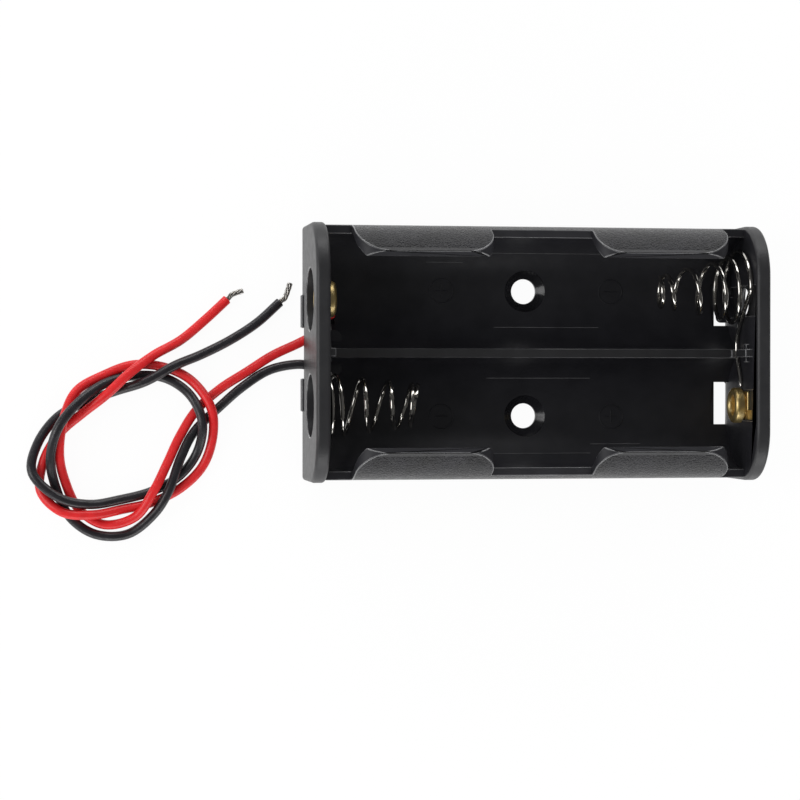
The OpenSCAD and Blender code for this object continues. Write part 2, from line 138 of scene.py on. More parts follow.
# Routes of the leads, from their soldered ends to their bare ends, with X from the
# inside of the end plate
RED_ROUTE = [
    (1.4, 4.9, 3.6), (1.1, 4.6, 2.6), (0.8, 4, 1.5), (0.5, 2.9, 0.8), (-2.1, 1.4, 0.7), (-5.7, -0.3, 0.6),
    (-9, -2.4, 0.6), (-12.3, -4.5, 0.6), (-15.3, -7.2, 0.6), (-17.4, -10.5, 0.7), (-19, -13.8, 1.5),
    (-20.8, -17.3, 2.5), (-23, -20.5, 1.5), (-26.8, -21.5, 0.7), (-30, -19.5, 0.7), (-31.7, -16, 0.7),
    (-32.4, -12.5, 1.6), (-31.9, -8.4, 2), (-30.3, -4.8, 1.5), (-26.9, -2.8, 0.7), (-23.2, -1.5, 0.7),
    (-19.3, -1.8, 0.6), (-15.9, -3.5, 0.9), (-13.6, -6.8, 2.1), (-13.3, -10.5, 1.3), (-14.5, -14.2, 0.7),
    (-17.3, -17, 0.6), (-21, -18.8, 0.7), (-24.6, -19.6, 0.7), (-28.3, -20.2, 2), (-32.1, -19.8, 1.8),
    (-34.7, -17.2, 0.7), (-34.3, -13.4, 0.8), (-32.3, -10, 0.6), (-29.6, -7.6, 1.2), (-26.7, -5.3, 2.3),
    (-23.7, -2.5, 2.4), (-20.7, -0.3, 1.4), (-17.3, 1.6, 0.7), (-14.3, 4.1, 0.7), (-11.4, 6.8, 0.6)]
RED_TIP = (-9.4, 7.9, 0.4)
BLACK_ROUTE = [
    (0.5, -4.2, 2.8), (0.5, -3.9, 1.8), (0.4, -3.2, 0.9), (-0.2, -2.1, 0.7), (-2.2, -1.4, 0.7),
    (-6, -2.1, 0.6), (-9.4, -4.2, 0.7), (-12.3, -6.7, 0.6), (-15.5, -9.8, 0.7), (-17.3, -13.1, 1.3),
    (-18.8, -17.1, 2.1), (-20.7, -20.2, 1.5), (-23.9, -22.7, 0.7), (-27.9, -22.7, 0.7),
    (-31.1, -20.5, 0.6), (-32.8, -16.9, 0.8), (-33.5, -13.2, 2.2), (-32.6, -9.4, 3.3), (-30.2, -6.3, 3),
    (-27.1, -4, 1.7), (-23.5, -2.9, 0.7), (-19.4, -3.1, 0.7), (-16.2, -5.2, 1.2), (-14.7, -8.6, 2.4),
    (-15.2, -12.4, 1), (-17.5, -15.5, 0.6), (-21, -17.4, 0.8), (-24.9, -18.4, 0.7), (-28.7, -18.9, 1.8),
    (-32.5, -18, 2.2), (-35.7, -15, 1.8), (-35.1, -11.4, 0.7), (-32.7, -8.1, 0.7), (-29.3, -6.2, 0.6),
    (-25.5, -4.8, 0.8), (-21.8, -3.6, 2), (-18.1, -1.6, 1.8), (-14.7, -0.2, 0.8), (-11.1, 1.6, 0.6),
    (-7.7, 3.8, 0.7), (-4.7, 6.5, 0.6)]
BLACK_TIP = (-3.4, 8.9, 0.4)


# ---------------------------------------------------------------- shapes

def unit(v):
    """Vectors of an array, each divided by its own length."""
    return v / np.linalg.norm(v, axis=-1, keepdims=True)


def smooth_curve(points, per_span=8):
    """Curve through all the points: on each span the uniform Catmull-Rom cubic of the four points
    round it, with the end points mirrored to give the first and last span their fourth."""
    p = np.array(points, float)
    p = np.vstack([2 * p[0] - p[1], p, 2 * p[-1] - p[-2]])
    t = np.linspace(0, 1, per_span, endpoint=False)[:, None, None]
    a, b, c, d = p[:-3], p[1:-2], p[2:-1], p[3:]
    spans = 0.5 * (2 * b + (c - a) * t + (2 * a - 5 * b + 4 * c - d) * t ** 2
                   + (3 * b - a - 3 * c + d) * t ** 3)
    return np.vstack([spans.transpose(1, 0, 2).reshape(-1, 3), p[-2]])


def band(rows, cols):
    """Quads between neighbouring rows of a grid whose rows close on themselves."""
    i = np.arange(rows - 1)[:, None] * cols
    k = np.arange(cols)
    k2 = (k + 1) % cols
    return np.stack([i + k, i + k2, i + cols + k2, i + cols + k], -1).reshape(-1, 4).tolist()


def tube(path, radius, sides=16, side=(0, 0, 1), lobes=0, depth=0, twist=0):
    """Round profile carried along a path: point = path + radius * (cos k * a + sin k * b), where a is
    square to the path and to side, and b is square to both. radius is one number or one for each
    point. With lobes, the radius also falls by depth between that many lobes, and they turn by
    twist radians for each unit of length. Both ends are closed."""
    path = np.array(path, float)
    t = unit(np.gradient(path, axis=0))
    a = unit(np.cross(np.array(side, float), t))
    b = np.cross(t, a)
    k = np.linspace(0, 2 * np.pi, sides, endpoint=False)
    r = np.broadcast_to(np.asarray(radius, float), (len(path),))[:, None]
    if lobes:
        along = np.r_[0, np.cumsum(np.linalg.norm(np.diff(path, axis=0), axis=1))][:, None]
        r = r * (1 - depth * (1 - np.abs(np.cos(lobes / 2 * (k + twist * along)))))
    else:
        r = np.repeat(r, sides, axis=1)
    around = np.cos(k)[:, None] * a[:, None] + np.sin(k)[:, None] * b[:, None]
    rings = path[:, None] + r[..., None] * around
    last = (len(path) - 1) * sides
    faces = band(len(path), sides)
    faces.append(list(range(sides - 1, -1, -1)))
    faces.append(list(range(last, last + sides)))
    return rings.reshape(-1, 3), faces


def lathe(profile, centre, out=1, sides=64):
    """Surface of revolution about a line along X: point = centre + (out * x, r cos k, r sin k) for
    each pair x, r of a closed profile."""
    x, r = np.array(profile, float).T
    k = np.linspace(0, 2 * np.pi, sides, endpoint=False)
    along = np.repeat(out * x[:, None], sides, 1)
    rings = np.stack([along, r[:, None] * np.cos(k), r[:, None] * np.sin(k)], -1)
    rings = np.concatenate([rings, rings[:1]]) + np.array(centre, float)
    return rings.reshape(-1, 3), band(len(rings), sides)


def holed_plate(half, hole_r, x0, thickness, centre, out=1, sides=64):
    """Flat plate with a round hole, square to X: rings run from the hole to the rectangle's edge,
    point = (1 - f) * hole point + f * edge point, over the front, round the edge and over the back."""
    k = np.linspace(0, 2 * np.pi, sides, endpoint=False) + np.pi / sides
    c, s = np.cos(k), np.sin(k)
    reach = np.minimum(half[0] / np.abs(c), half[1] / np.abs(s))
    edge = np.stack([reach * c, reach * s], -1)
    hole = hole_r * np.stack([c, s], -1)
    soft, back = STRIP_SOFT, thickness
    rings = []
    for f, depth, less in ((0, 0, 0), (0.5, 0, 0), (1, 0, soft), (1, soft, 0), (1, back - soft, 0),
                           (1, back, soft), (0.5, back, 0), (0, back, 0)):
        flat = (1 - f) * hole + f * (edge - less * np.sign(edge) * (np.abs(edge) > 1e-6))
        rings.append(np.column_stack([np.full(sides, out * (x0 + depth)), flat]))
    rings = np.stack(rings + rings[:1]) + np.array(centre, float)
    return rings.reshape(-1, 3), band(len(rings), sides)


def block(centre, size):
    """Box with its middle at centre: point = centre + size / 2 * each of the eight signs."""
    signs = np.array([(x, y, z) for x in (-1, 1) for y in (-1, 1) for z in (-1, 1)])
    faces = [[0, 1, 3, 2], [4, 6, 7, 5], [0, 4, 5, 1], [2, 3, 7, 6], [0, 2, 6, 4], [1, 5, 7, 3]]
    return np.array(centre) + signs * np.array(size) / 2, faces


def joined(*shapes):
    """Several shapes as one list of points and one of faces."""
    points, faces, start = [], [], 0
    for p, f in shapes:
        points.append(p)
        faces += [[i + start for i in face] for face in f]
        start += len(p)
    return np.vstack(points), faces


def flipped(shape):
    """The same shape with its faces turned round."""
    return shape[0], [face[::-1] for face in shape[1]]


def read(items, key, size=1, kind=float):
    """One attribute of all vertices, corners or faces of a mesh, with so many numbers each."""
    values = np.empty(len(items) * size, kind)
    items.foreach_get(key, values)
    return values.reshape(-1, size) if size > 1 else values


def piece(name, shape, material, replaces=()):
    """Object in metres from a shape in millimetres, riding on the part."""
    points, faces = shape
    mesh = bpy.data.meshes.new(name)
    mesh.from_pydata((np.asarray(points) * MM).tolist(), [], faces)
    mesh.validate()
    mesh.polygons.foreach_set("use_smooth", [True] * len(mesh.polygons))
    mesh.set_sharp_from_angle(angle=np.radians(40))
    mesh.materials.append(material)
    obj = bpy.data.objects.new(name, mesh)
    bpy.context.scene.collection.objects.link(obj)
    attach(obj, "root")
    if replaces:
        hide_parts(*replaces)
    return obj


# ---------------------------------------------------------------- materials

def srgb(colour):
    """Linear RGBA of a hex colour such as #20242a."""
    v = np.array([int(colour[i:i + 2], 16) for i in (1, 3, 5)]) / 255
    v = np.where(v <= 0.04045, v / 12.92, ((v + 0.055) / 1.055) ** 2.4)
    return (*v.tolist(), 1.0)


def set_inputs(owner, node, inputs):
    """Each named input joined to another node's socket, or set to a number or colour."""
    for key, value in inputs.items():
        if isinstance(value, bpy.types.NodeSocket):
            owner.node_tree.links.new(value, node.inputs[key])
        else:
            node.inputs[key].default_value = value


def add_node(owner, kind, inputs=None, **settings):
    """Node in a material or world, with its settings and inputs."""
    node = owner.node_tree.nodes.new(kind)
    for key, value in settings.items():
        setattr(node, key, value)
    set_inputs(owner, node, inputs or {})
    return node


def new_material(name):
    """Material with its shader, and the place on the piece in millimetres."""
    material = bpy.data.materials.new(name)
    material.use_nodes = True
    place = add_node(material, "ShaderNodeTexCoord").outputs["Object"]
    mm = add_node(material, "ShaderNodeVectorMath", {0: place, "Scale": 1 / MM}, operation="SCALE")
    return material, material.node_tree.nodes["Principled BSDF"], mm.outputs[0]


def drift(material, mm, per_mm, low, high, detail=3.0, edges=MID_NOISE):
    """Value that drifts from low to high in cloudy patches, so many to the millimetre."""
    clouds = add_node(material, "ShaderNodeTexNoise", {"Vector": mm, "Scale": per_mm, "Detail": detail})
    return add_node(material, "ShaderNodeMapRange", {
        "Value": clouds.outputs[0], "From Min": edges[0], "From Max": edges[1],
        "To Min": low, "To Max": high}).outputs[0]


def two_tones(material, share, first, second):
    """Colour between two hex colours, by the share of the second."""
    return add_node(material, "ShaderNodeMix", {
        0: share, 6: srgb(first), 7: srgb(second)}, data_type="RGBA").outputs[2]


def set_surface(material, shader, inputs, relief, distance):
    """The shader's inputs, and its surface raised by relief times distance, in millimetres."""
    raised = add_node(material, "ShaderNodeBump", {"Height": relief, "Distance": distance * MM})
    set_inputs(material, shader, {**inputs, "Normal": raised.outputs[0]})
    return material


def black_plastic(name, dark, light, roughness, shine, ripple=0.06, grain=0.0, depth=0.01):
    """Injection-moulded black ABS. Its black and its polish wander a little, as the melt cooled
    unevenly, and it has the mould's ripple. With grain, it also has the pebbles of a spark-eroded
    mould, on the parts of the lips beyond a smooth strip along their inner edge."""
    material, shader, mm = new_material(name)
    waves = add_node(material, "ShaderNodeTexNoise", {"Vector": mm, "Scale": 9.0, "Detail": 2.0})
    relief = add_node(material, "ShaderNodeMath", {0: waves.outputs[0], 1: ripple}, operation="MULTIPLY")
    if grain:
        spots = add_node(material, "ShaderNodeTexNoise", {
            "Vector": mm, "Scale": grain, "Detail": 1.0, "Roughness": 0.4})
        pebbles = add_node(material, "ShaderNodeMapRange", {
            "Value": spots.outputs[0], "From Min": 0.35, "From Max": 0.65})
        across = add_node(material, "ShaderNodeSeparateXYZ", {0: mm}).outputs[1]
        beyond = add_node(material, "ShaderNodeMath", {0: across}, operation="ABSOLUTE")
        grained = add_node(material, "ShaderNodeMapRange", {
            "Value": beyond.outputs[0], "From Min": GRAIN_FROM, "From Max": GRAIN_FULL})
        relief = add_node(material, "ShaderNodeMath", {
            0: pebbles.outputs[0], 1: grained.outputs[0], 2: relief.outputs[0]}, operation="MULTIPLY_ADD")
    return set_surface(material, shader, {
        "Base Color": two_tones(material, drift(material, mm, 0.35, 0, 1, 2.0), dark, light),
        "Roughness": drift(material, mm, 1.1, roughness - 0.03, roughness + 0.04, 2.0),
        "Specular IOR Level": shine}, relief.outputs[0], depth)


def pvc(name, colour, shade, shine=0.45):
    """Extruded PVC insulation: smooth and softly bright, with faint lighter and darker lengths."""
    material, shader, mm = new_material(name)
    ripple = add_node(material, "ShaderNodeTexNoise", {"Vector": mm, "Scale": 5.0, "Detail": 3.0})
    return set_surface(material, shader, {
        "Base Color": two_tones(material, drift(material, mm, 0.8, 0, 1), colour, shade),
        "Roughness": drift(material, mm, 3.0, 0.3, 0.42),
        "Specular IOR Level": shine}, ripple.outputs[0], 0.02)


def metal(name, colour, shade, low, high, per_mm=2.0):
    """Bare or plated metal, whose colour and polish wander a little as plating and tarnish do, so
    that its reflections aren't those of a mirror."""
    material, shader, mm = new_material(name)
    ripple = add_node(material, "ShaderNodeTexNoise", {"Vector": mm, "Scale": 6 * per_mm, "Detail": 3.0})
    tarnish = drift(material, mm, per_mm, 0, 1, 4.0, (0.35, 0.7))
    return set_surface(material, shader, {
        "Base Color": two_tones(material, tarnish, colour, shade),
        "Roughness": drift(material, mm, 2 * per_mm, low, high),
        "Metallic": 1.0}, ripple.outputs[0], 0.004)


# ---------------------------------------------------------------- settings

class HolderLook(bpy.types.PropertyGroup):
    """Finish of the black moulding."""
    plastic: bpy.props.StringProperty(
        name="Plastic", description="Colour of the polished inside", default="#202024")
    plastic_light: bpy.props.StringProperty(
        name="Plastic, lighter", description="Colour of its lighter places", default="#26262a")
    grained: bpy.props.StringProperty(
        name="Grained plastic", description="Colour of the grained outside", default="#161618")
    satin: bpy.props.StringProperty(
        name="Satin plastic", description="Colour of the end plates", default="#262628")
    satin_light: bpy.props.StringProperty(
        name="Satin plastic, lighter", description="Colour of their lighter places", default="#2b2b2d")
    # The edges' two colours are lighter than the plastic's: a painted highlight along the softened edges
    edge: bpy.props.StringProperty(
        name="Edges", description="Colour of the softened edges", default="#4a4a4c")
    edge_light: bpy.props.StringProperty(
        name="Edges, lighter", description="Colour of their lighter places", default="#606062")
    gloss_roughness: bpy.props.FloatProperty(
        name="Polish", description="Roughness of the inside", default=0.48, min=0.05, max=0.6)
    grain_roughness: bpy.props.FloatProperty(
        name="Grain roughness", description="Roughness of the grained outside", default=0.3,
        min=0.2, max=0.9)
    end_roughness: bpy.props.FloatProperty(
        name="End roughness", description="Roughness of the end plates", default=0.42, min=0.2, max=0.9)
    edge_roughness: bpy.props.FloatProperty(
        name="Edge roughness", description="Roughness of the softened edges", default=0.2,
        min=0.1, max=0.9)
    grain_depth: bpy.props.FloatProperty(
        name="Grain depth", description="Depth of the grain, in millimetres", default=0.075,
        min=0, max=0.1)
    edge_width: bpy.props.FloatProperty(
        name="Edge width", description="Width of the softened edges, in millimetres", default=0.12,
        min=0.02, max=0.3)


class ContactLook(bpy.types.PropertyGroup):
    """Finish and size of the springs and buttons."""
    wire_d: bpy.props.FloatProperty(
        name="Wire", description="Diameter of the spring wire, in millimetres", default=0.55,
        min=0.4, max=0.7)
    nickel: bpy.props.StringProperty(
        name="Nickel", description="Colour of the springs", default="#d6d3cd")
    brass: bpy.props.StringProperty(
        name="Brass", description="Colour of the buttons", default="#e8d096")
    solder: bpy.props.StringProperty(
        name="Solder", description="Colour of the solder and the tinned strands", default="#c9c7c4")


class LeadLook(bpy.types.PropertyGroup):
    """Finish and size of the leads."""
    lead_d: bpy.props.FloatProperty(
        name="Lead", description="Diameter over the insulation, in millimetres", default=1.2,
        min=1, max=1.3)
    strand_d: bpy.props.FloatProperty(
        name="Strands", description="Diameter of the bare strands, in millimetres", default=0.7,
        min=0.4, max=0.8)
    red: bpy.props.StringProperty(
        name="Red", description="Colour of the positive lead", default="#d81f22")
    black: bpy.props.StringProperty(
        name="Black", description="Colour of the negative lead", default="#1b191d")


class StageLook(bpy.types.PropertyGroup):
    """Floor, light and camera."""
    floor: bpy.props.StringProperty(
        name="Floor", description="Colour of the floor", default="#ffffff")
    side_light: bpy.props.FloatProperty(
        name="Side lights", description="Power of each soft light at the sides", default=1.9,
        min=0, max=10)
    end_light: bpy.props.FloatProperty(
        name="End light", description="Power of the soft light at the end", default=1.2, min=0, max=10)
    sky: bpy.props.FloatProperty(
        name="Sky", description="Strength of the light from all round", default=0.6, min=0, max=2)
    glossy_sky: bpy.props.FloatProperty(
        name="Sky in reflections", description="Strength of the sky that the part mirrors", default=0.08,
        min=0, max=2)
    lens: bpy.props.FloatProperty(
        name="Lens", description="Focal length, in millimetres", default=104.465, min=20, max=300)


# ---------------------------------------------------------------- operators

class StageOperator(bpy.types.Operator):
    """Make the floor, the lights and the camera"""
    bl_idname = "cell_holder.stage"
    bl_label = "Stage"

    def execute(self, context):
        look = context.scene.cell_holder_stage
        scene = context.scene
        scene.view_settings.view_transform = "Standard"
        scene.camera = self.camera(look)
        self.floor(look)
        self.sky(look)
        for name, (place, size) in LIGHTS.items():
            light = bpy.data.lights.new(name, "AREA")
            light.shape = "RECTANGLE"
            light.size, light.size_y = size
            light.energy = look.end_light if name == "light_end" else look.side_light
            lamp = bpy.data.objects.new(name, light)
            lamp.location = place
            lamp.rotation_euler = (-Vector(place)).to_track_quat("-Z", "Y").to_euler()
            scene.collection.objects.link(lamp)
        return {"FINISHED"}

    def camera(self, look):
        """Camera at EYE that looks at AIM, with +Y up in the picture."""
        camera = bpy.data.objects.new("camera", bpy.data.cameras.new("camera"))
        camera.data.lens = look.lens
        camera.data.sensor_width = 36
        camera.data.clip_start = 0.01
        eye = Vector(EYE) * MM
        ahead = (Vector(AIM) * MM - eye).normalized()
        right = ahead.cross(Vector((0, 1, 0))).normalized()
        turn = Matrix((right, right.cross(ahead), -ahead)).transposed()
        camera.matrix_world = Matrix.Translation(eye) @ turn.to_4x4()
        bpy.context.scene.collection.objects.link(camera)
        return camera

    def floor(self, look):
        """Plain floor that shows its own colour and keeps the part's shadow."""
        square = ((-1, -1), (1, -1), (1, 1), (-1, 1))
        corners = [(x * FLOOR_HALF, y * FLOOR_HALF, -FLOOR_DROP) for x, y in square]
        mesh = bpy.data.meshes.new("floor")
        mesh.from_pydata(corners, [], [(0, 1, 2, 3)])
        sheet = bpy.data.objects.new("floor", mesh)
        bpy.context.scene.collection.objects.link(sheet)
        paper = bpy.data.materials.new("white_paper_floor")
        paper.use_nodes = True
        shader = paper.node_tree.nodes["Principled BSDF"]
        set_inputs(paper, shader, {
            "Base Color": srgb(look.floor), "Roughness": 0.9, "Specular IOR Level": 0.0})
        rays = add_node(paper, "ShaderNodeLightPath").outputs
        glossy_or_clear = add_node(paper, "ShaderNodeMath", {
            0: rays["Is Glossy Ray"], 1: rays["Is Transmission Ray"]}, operation="MAXIMUM")
        seen = add_node(paper, "ShaderNodeMath", {
            0: rays["Is Camera Ray"], 1: glossy_or_clear.outputs[0]}, operation="MAXIMUM")
        share = add_node(paper, "ShaderNodeMath", {0: seen.outputs[0], 1: 0.95}, operation="MULTIPLY")
        plain = add_node(paper, "ShaderNodeEmission", {"Color": srgb(look.floor), "Strength": 1.0})
        mix = add_node(paper, "ShaderNodeMixShader", {
            0: share.outputs[0], 1: shader.outputs[0], 2: plain.outputs[0]})
        set_inputs(paper, paper.node_tree.nodes["Material Output"], {"Surface": mix.outputs[0]})
        mesh.materials.append(paper)

    def sky(self, look):
        """White to the eye, and a weaker even light on the part."""
        world = bpy.data.worlds.new("sky")
        world.use_nodes = True
        bpy.context.scene.world = world
        rays = add_node(world, "ShaderNodeLightPath").outputs
        seen = add_node(world, "ShaderNodeMath", {
            0: rays["Is Camera Ray"], 1: rays["Is Transmission Ray"]}, operation="MAXIMUM")
        on_part = add_node(world, "ShaderNodeMapRange", {
            "Value": rays["Is Glossy Ray"], "To Min": look.sky, "To Max": look.glossy_sky})
        strength = add_node(world, "ShaderNodeMath", {
            0: seen.outputs[0], 1: on_part.outputs[0]}, operation="MAXIMUM")
        set_inputs(world, world.node_tree.nodes["Background"], {
            "Color": (1, 1, 1, 1), "Strength": strength.outputs[0]})


class LeadsOperator(bpy.types.Operator):
    """Make both leads and their bare strands"""
    bl_idname = "cell_holder.leads"
    bl_label = "Leads"

    def execute(self, context):
        look = context.scene.cell_holder_leads
        solder = context.scene.cell_holder_contacts.solder
        tinned = metal("tinned_copper_strands", solder, "#aeaaa4", 0.22, 0.4, 3.0)
        red_pvc = pvc("red_pvc_insulation", look.red, "#c9181c")
        black_pvc = pvc("black_pvc_insulation", look.black, "#252328", 0.6)
        for name, route, tip, plastic in (("red", RED_ROUTE, RED_TIP, red_pvc),
                                          ("black", BLACK_ROUTE, BLACK_TIP, black_pvc)):
            path = smooth_curve(route) - (FACE_X, 0, 0)
            path[:, 2] = np.maximum(path[:, 2], look.lead_d / 2)
            strands = self.strands(name, path, np.array(tip) - (FACE_X, 0, 0), look, tinned)
            lead = self.insulation(name, path, look, plastic)
        return {"FINISHED"}

    def insulation(self, name, path, look, material):
        """Round cover along the lead, cut square at both ends with a slight rounding."""
        first, last = path[0] - path[1], path[-1] - path[-2]

        # The cut's edge is rounded over the last 0.08 mm, where the radius falls in two steps
        steps = np.array([0, 0.04, 0.08])[:, None]
        start = path[0] - unit(first) * steps
        end = (path[-1] - unit(last) * steps)[::-1]
        line = np.vstack([start, path[1:-1], end])
        radius = np.full(len(line), look.lead_d / 2)
        radius[[0, -1]] *= 0.86
        radius[[1, -2]] *= 0.97
        return piece(name + "_lead_insulation", tube(line, radius, 24), material,
                     [name + "_lead"])

    def strands(self, name, path, tip, look, material):
        """Seven tinned strands twisted together, as one lobed bar with a slightly flared end."""
        way = unit(path[-1] - path[-3])
        end = path[-1]

        # From 0.4 mm inside the insulation, straight on for a while, and then to the tip
        line = smooth_curve([end - 0.4 * way, end + 0.2 * way, end + 0.9 * way, tip], 16)
        radius = look.strand_d / 2 * np.linspace(0.92, 1.05, len(line))
        radius[-1] *= 0.8
        shape = tube(line, radius, 56, lobes=7, depth=0.34, twist=1.3)
        return piece(name + "_lead_strands", shape, material, [name + "_strands"])


def solder_joint(name, start, way, end, foot, turn, size, material):
    """Bare wire from the insulation to a point in a drop of solder: a bar, and a surface of
    revolution about X whose radius falls from its foot to a round top, then turned about Y."""
    line = smooth_curve([start, start + 0.4 * way, end], 10)
    wire = tube(line, SOLDERED_R, 24, (1, 0, 0), lobes=7, depth=0.3, twist=1.3)
    up = np.linspace(0, 1, 14)
    radius = size * (1.1 - 0.3 * np.sqrt(up)) * np.sqrt(1 - up ** 4) + 0.01
    profile = np.column_stack([size * up, radius]).tolist() + [[size, 0.001], [0, 0.001]]
    points, faces = lathe(profile, (0, 0, 0), 1, 32)
    c, s = np.cos(np.radians(turn)), np.sin(np.radians(turn))
    points = points @ np.array([[c, 0, -s], [0, 1, 0], [s, 0, c]]) + np.array(foot)
    return piece(name + "_solder_joint", joined(wire, flipped((points, faces))), material,
                 [name + "_solder"])


class SolderOperator(bpy.types.Operator):
    """Make the two soldered joints inside the housing"""
    bl_idname = "cell_holder.solder"
    bl_label = "Solder"

    def execute(self, context):
        look = context.scene.cell_holder_contacts
        for name, route in (("red", RED_ROUTE), ("black", BLACK_ROUTE)):
            start, second = np.array(route[:2], float) - (FACE_X, 0, 0)
            solder = metal(name + "_side_solder", look.solder, "#9f9c98", 0.2, 0.35, 1.5)
            solder_joint(name, start, unit(start - second), *SOLDER[name], solder)
        return {"FINISHED"}


def coil(base, tip, base_d, tip_d, wire_d, steps, lean, start):
    """Conical coil from base to tip about a line along X: at turn u, the wire has advanced as far as
    the steps say, its radius and its middle have gone evenly from those at the base to those at the
    tip, and from turn LEAN_FROM on, x also gains lean times the cosine of its angle."""
    base, tip = np.array(base, float), np.array(tip, float)
    out = np.sign(tip[0] - base[0])
    u = np.arange(int(TURNS * COIL_POINTS) + 1) / COIL_POINTS
    turns, reached = np.transpose(steps)
    advance = abs(tip[0] - base[0]) * np.interp(u, turns, reached) / reached[-1]
    angle = np.radians(start) + out * 2 * np.pi * u
    tilt = lean * np.clip(u - LEAN_FROM, 0, 1) * np.cos(angle + np.radians(LEAN_A))
    f = np.clip(u / (TURNS - TIP_TURNS), 0, 1)
    r = (base_d + f * (tip_d - base_d) - wire_d) / 2
    middle = base + f[:, None] * (tip - base)
    return np.stack([base[0] + out * (advance + tilt),
                     middle[:, 1] + r * np.cos(angle), middle[:, 2] + r * np.sin(angle)], -1)


class SpringsOperator(bpy.types.Operator):
    """Make both springs, the rear one with the wire that bridges the two cells"""
    bl_idname = "cell_holder.springs"
    bl_label = "Springs"

    def execute(self, context):
        look = context.scene.cell_holder_contacts
        d = look.wire_d
        nickel = metal("nickel_plated_spring_wire", look.nickel, "#c4c0ba", 0.06, 0.14)
        start_y = -CONTACT_Y + (BASE_D - d) / 2
        front = np.vstack([
            [(-WIRE_X, start_y, z) for z in FOOT_Z],
            coil((-WIRE_X, -CONTACT_Y, CONTACT_Z), (SPRING_L - d - WIRE_X, -CONTACT_Y, CONTACT_Z),
                 BASE_D, TIP_D, d, NEGATIVE_STEPS, LEAN, 0)])
        rear = np.vstack([
            [(WIRE_X, y, CONTACT_Z + up) for y, up in BRIDGE_LINK],
            coil((WIRE_X, BRIDGE_Y, BRIDGE_Z), (WIRE_X - BRIDGE_L + d, BRIDGE_TIP_Y, BRIDGE_Z),
                 BRIDGE_BASE_D, BRIDGE_TIP_D, d, BRIDGE_STEPS, 0, 90)])
        for name, points, node in (("negative_spring_wire", front, "negative_spring"),
                                   ("bridge_spring_wire", rear, "bridge_spring")):
            path = smooth_curve(points, 5)
            radius = np.full(len(path), d / 2)
            radius[[0, -1]] *= 0.7
            piece(name, tube(path, radius, 16, (1, 0, 0)), nickel, [node])
        return {"FINISHED"}


class ButtonsOperator(bpy.types.Operator):
    """Make both brass buttons with their strips and rivets"""
    bl_idname = "cell_holder.buttons"
    bl_label = "Buttons"

    def execute(self, context):
        look = context.scene.cell_holder_contacts
        brass = metal("stamped_brass", look.brass, "#dcc07e", 0.38, 0.5, 1.2)
        bore = BUTTON_R - 2 * BUTTON_RIM_R
        k = np.radians(np.arange(0, 181, 15))
        rim = np.column_stack([BUTTON_L - BUTTON_RIM_R + BUTTON_RIM_R * np.sin(k),
                               bore + BUTTON_RIM_R + BUTTON_RIM_R * np.cos(k)]).tolist()
        neck, neck_r = BUTTON_NECK_L, STRIP_W / 2
        barrel = [[0, neck_r], [neck, neck_r], [neck, BUTTON_R - BRASS_SOFT],
                  [neck + BRASS_SOFT, BUTTON_R]] + rim + [[0, bore]]
        shank = PORT_X - STRIP_X - STRIP_T
        end = shank + HEAD_T
        rivet = [[0, bore], [end, bore], [end, HEAD_R - BRASS_SOFT], [end - BRASS_SOFT, HEAD_R],
                 [shank, HEAD_R], [shank, RIVET_R], [0, RIVET_R]]
        half = (STRIP_W / 2, (STRIP_TOP - STRIP_LOW) / 2)
        for name, out, side in (("positive_button", -1, 1), ("bridge_button", 1, -1)):
            centre = (0, side * CONTACT_Y, CONTACT_Z)
            face = (out * STRIP_X, side * CONTACT_Y, CONTACT_Z)
            back = (out * (STRIP_X + STRIP_T), side * CONTACT_Y, CONTACT_Z)
            strip = self.strip(half, bore, centre, out)
            tab_y, tab_low = CONTACT_Y + (STRIP_W - TAB_W) / 2, STRIP_TOP - 0.1
            tab = block((out * (STRIP_X + STRIP_T / 2), side * tab_y, (tab_low + TAB_TOP) / 2),
                        (STRIP_T, TAB_W, TAB_TOP - tab_low))
            shapes = [lathe(barrel, face, -out), lathe(rivet, back, out), strip, tab]
            if out > 0:
                shapes[1] = flipped(shapes[1])
            else:
                shapes[0] = flipped(shapes[0])
            piece(name + "_brass", joined(*shapes), brass, [name])
        return {"FINISHED"}

    def strip(self, half, bore, centre, out):
        """Flat strip behind the button, centred between its own ends."""
        middle = (STRIP_LOW + STRIP_TOP) / 2 - CONTACT_Z
        points, faces = holed_plate(half, bore, STRIP_X, STRIP_T, centre, out)
        edge = np.hypot(points[:, 1] - centre[1], points[:, 2] - centre[2]) > bore + 0.01
        points[edge, 2] += middle
        return (points, faces) if out < 0 else flipped((points, faces))


